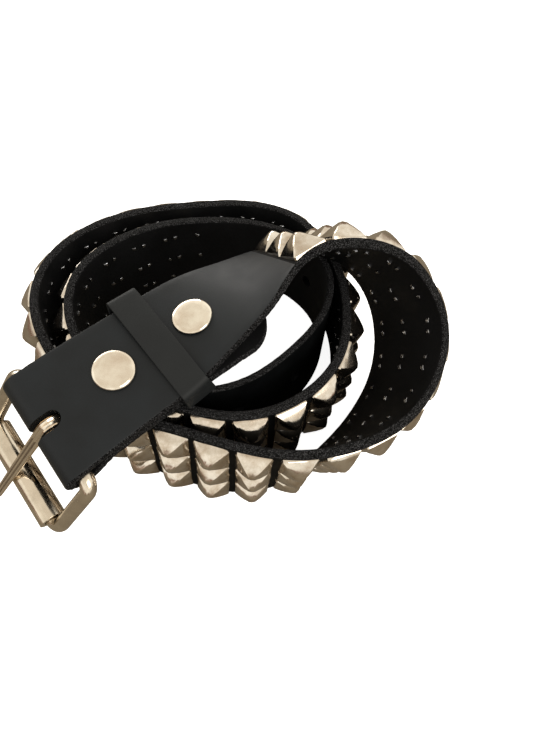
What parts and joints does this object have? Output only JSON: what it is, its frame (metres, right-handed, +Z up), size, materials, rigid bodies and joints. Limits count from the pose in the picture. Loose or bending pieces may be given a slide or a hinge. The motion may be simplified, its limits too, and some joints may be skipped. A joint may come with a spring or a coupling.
{
  "type": "studded belt",
  "caption": "Wide black leather belt with rows of pyramid studs, coiled on the floor with its roller buckle end folded over the coil.",
  "frame": {"origin": "middle of the overall box, on the floor the coil stands on", "axes": "+Z up, +X along the coil's longer side, the picture is taken from -Y and above"},
  "size_m": [0.1594, 0.1382, 0.0709],
  "materials": {
    "black_leather": "satin black",
    "keeper_leather": "satin black",
    "snap_nickel": "polished nickel",
    "buckle_nickel": "polished nickel"
  },
  "bodies": {
    "strap": {"studded_strap": "black_leather", "keeper_loop": "keeper_leather", "snap_1": "snap_nickel", "snap_2": "snap_nickel"},
    "frame": {"buckle_frame": "buckle_nickel"},
    "roller": {"roller": "buckle_nickel"},
    "tongue": {"tongue": "buckle_nickel"}
  },
  "joints": [
    {"name": "frame_hinge", "type": "hinge", "parent": "strap", "child": "frame", "pos_m": [-0.04845, -0.0429, 0.04345], "axis": [0.6317, -0.7529, -0.1844], "range_deg": [-60, 12]},
    {"name": "roller_spin", "type": "hinge", "parent": "frame", "child": "roller", "pos_m": [-0.06449, -0.05083, 0.02088], "axis": [0.6317, -0.7529, -0.1844], "continuous": true},
    {"name": "tongue_hinge", "type": "hinge", "parent": "frame", "child": "tongue", "pos_m": [-0.04845, -0.0429, 0.04345], "axis": [0.6317, -0.7529, -0.1844], "range_deg": [-45, 0]}
  ]
}
